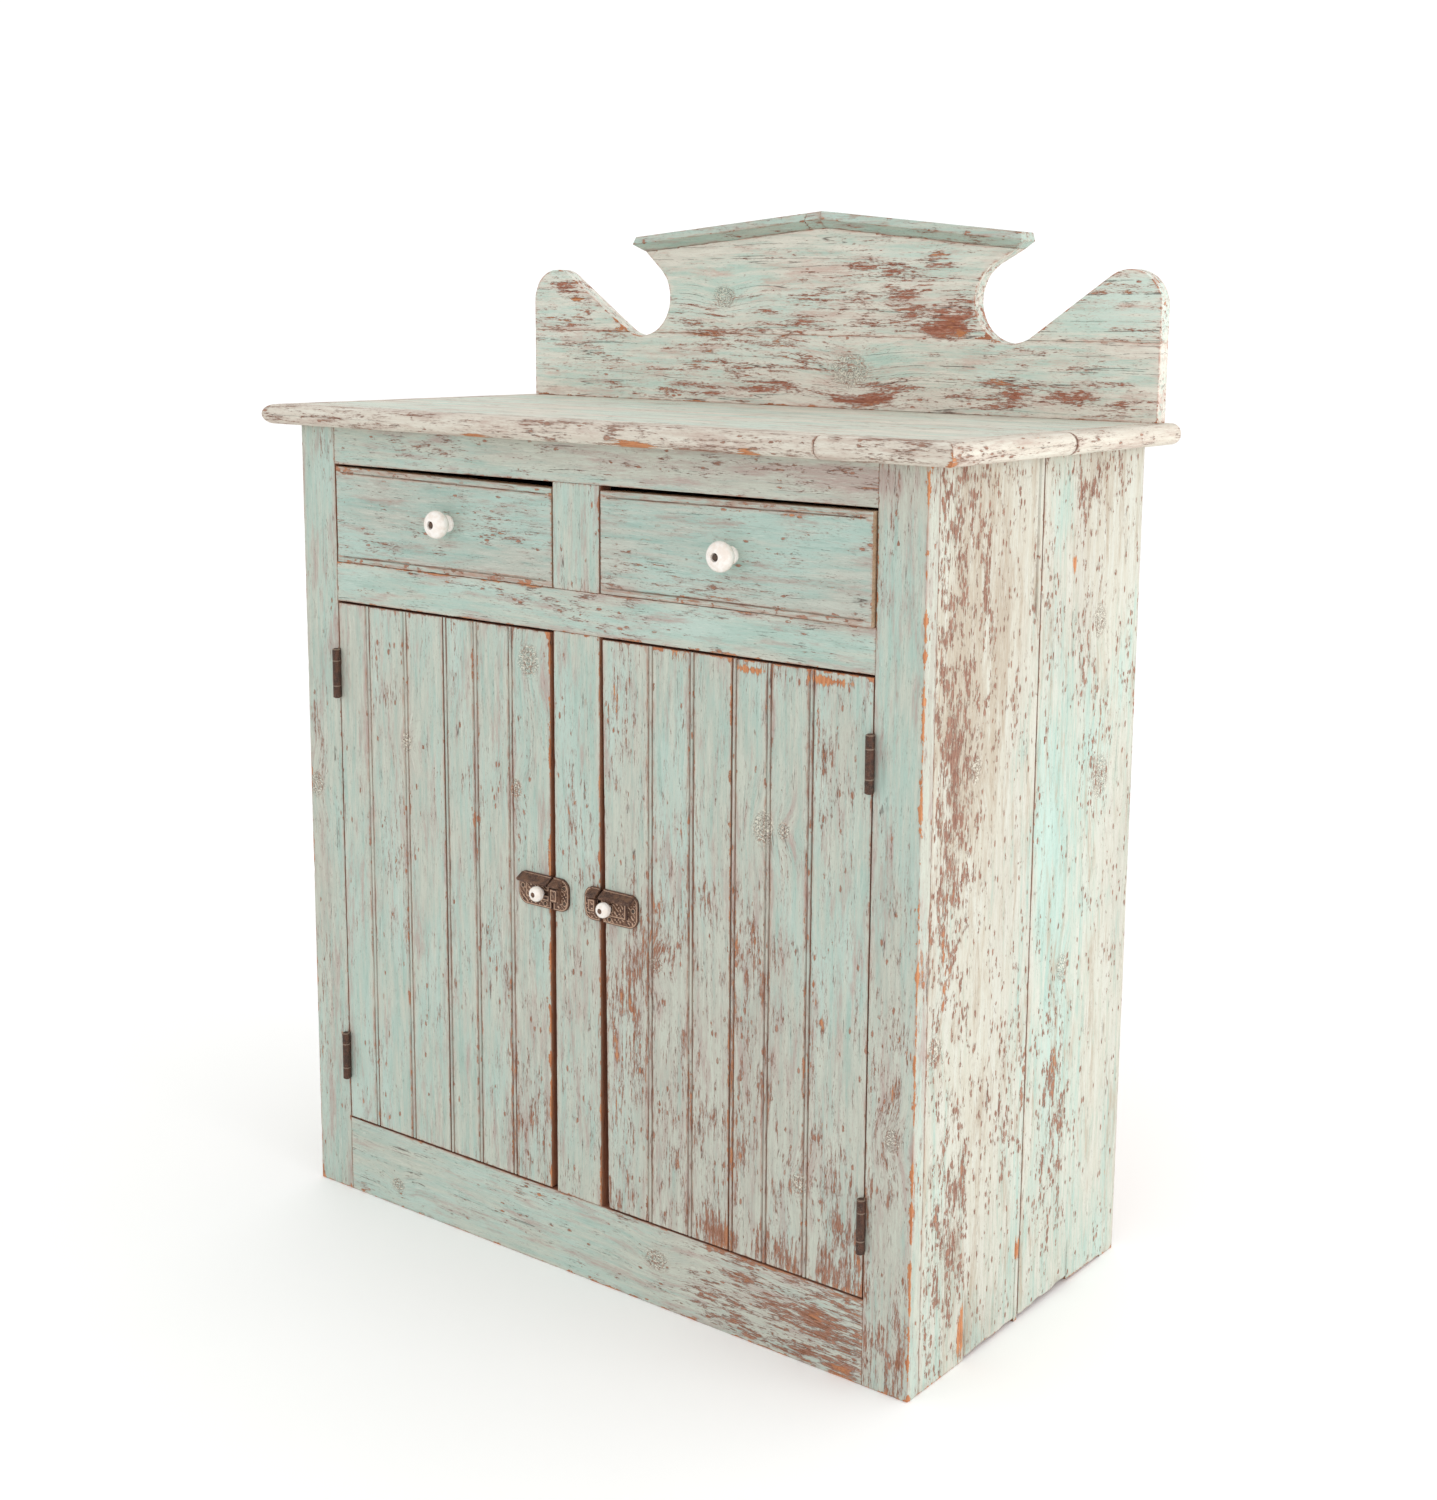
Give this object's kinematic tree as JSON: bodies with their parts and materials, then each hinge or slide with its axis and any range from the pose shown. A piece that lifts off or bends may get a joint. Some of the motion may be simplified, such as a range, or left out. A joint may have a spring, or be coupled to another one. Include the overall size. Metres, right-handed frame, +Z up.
{
  "type": "painted cupboard with splashback",
  "caption": "Weathered painted pine cupboard: drawers over beadboard doors with cast catches, a round-nosed top and a scroll-cut splashback.",
  "frame": {"origin": "on the floor, under the middle of the overall box", "axes": "+X along the front towards the viewer's right, +Y from front to back, +Z up"},
  "size_m": [1.055, 0.516, 1.3171],
  "materials": {
    "painted_pine": "weathered matt paint, pale blue-green over cream, worn to the wood at edges",
    "bare_pine": "aged unfinished pine",
    "hinge_iron": "dark brown oxidised, rubbed on top",
    "catch_iron": "brown oxidised casting, rubbed on raised ornament",
    "porcelain": "glossy off-white glaze",
    "steel": "dull, rusted screws"
  },
  "bodies": {
    "case": {"back_boards": "bare_pine", "case_bearers": "bare_pine", "catch_keepers": "catch_iron", "door_mullion": "painted_pine", "drawer_muntin": "painted_pine", "drawer_runners": "bare_pine", "floor_boards": "bare_pine", "frame_hardware_screws": "steel", "hinge_frame_leaves": "hinge_iron", "hinge_pins": "hinge_iron", "rail_bottom": "bare_pine", "rail_middle": "painted_pine", "rail_top": "painted_pine", "shelf_boards": "bare_pine", "side_left_front_board": "painted_pine", "side_left_rear_board": "painted_pine", "side_right_front_board": "painted_pine", "side_right_rear_board": "painted_pine", "splash_cap_left": "painted_pine", "splash_cap_right": "painted_pine", "splash_crest": "painted_pine", "splash_ear_left": "painted_pine", "splash_ear_right": "painted_pine", "splash_lower_board": "painted_pine", "splash_screws": "steel", "stile_left": "painted_pine", "stile_right": "painted_pine", "top_front_board": "painted_pine", "top_nosing_front": "painted_pine", "top_nosing_left": "painted_pine", "top_nosing_right": "painted_pine", "top_rear_board": "painted_pine"},
    "drawer_left": {"drawer_left_back": "bare_pine", "drawer_left_bottom": "bare_pine", "drawer_left_front": "painted_pine", "drawer_left_knob": "porcelain", "drawer_left_knob_screw": "steel", "drawer_left_sides": "bare_pine"},
    "drawer_right": {"drawer_right_back": "bare_pine", "drawer_right_bottom": "bare_pine", "drawer_right_front": "painted_pine", "drawer_right_knob": "porcelain", "drawer_right_knob_screw": "steel", "drawer_right_sides": "bare_pine"},
    "door_left": {"door_left_battens": "bare_pine", "door_left_catch_plate": "catch_iron", "door_left_free_board": "painted_pine", "door_left_hinge_board": "painted_pine", "door_left_hinge_leaves": "hinge_iron", "door_left_screws": "steel"},
    "door_right": {"door_right_battens": "bare_pine", "door_right_catch_plate": "catch_iron", "door_right_free_board": "painted_pine", "door_right_hinge_board": "painted_pine", "door_right_hinge_leaves": "hinge_iron", "door_right_screws": "steel"},
    "catch_left": {"door_left_catch_bolt": "catch_iron", "door_left_catch_knob": "porcelain"},
    "catch_right": {"door_right_catch_bolt": "catch_iron", "door_right_catch_knob": "porcelain"}
  },
  "joints": [
    {"name": "drawer_left_slide", "type": "slide", "parent": "case", "child": "drawer_left", "axis": [0, -1, 0], "range_m": [0, 0.33]},
    {"name": "drawer_right_slide", "type": "slide", "parent": "case", "child": "drawer_right", "axis": [0, -1, 0], "range_m": [0, 0.33]},
    {"name": "door_left_hinge", "type": "hinge", "parent": "case", "child": "door_left", "pos_m": [-0.41985, -0.234, 0.45], "axis": [0, 0, -1], "range_deg": [0, 170]},
    {"name": "door_right_hinge", "type": "hinge", "parent": "case", "child": "door_right", "pos_m": [0.41985, -0.234, 0.45], "axis": [0, 0, 1], "range_deg": [0, 170]},
    {"name": "catch_left_slide", "type": "slide", "parent": "door_left", "child": "catch_left", "axis": [1, 0, 0], "range_m": [0, 0.008]},
    {"name": "catch_right_slide", "type": "slide", "parent": "door_right", "child": "catch_right", "axis": [-1, 0, 0], "range_m": [0, 0.008]}
  ]
}
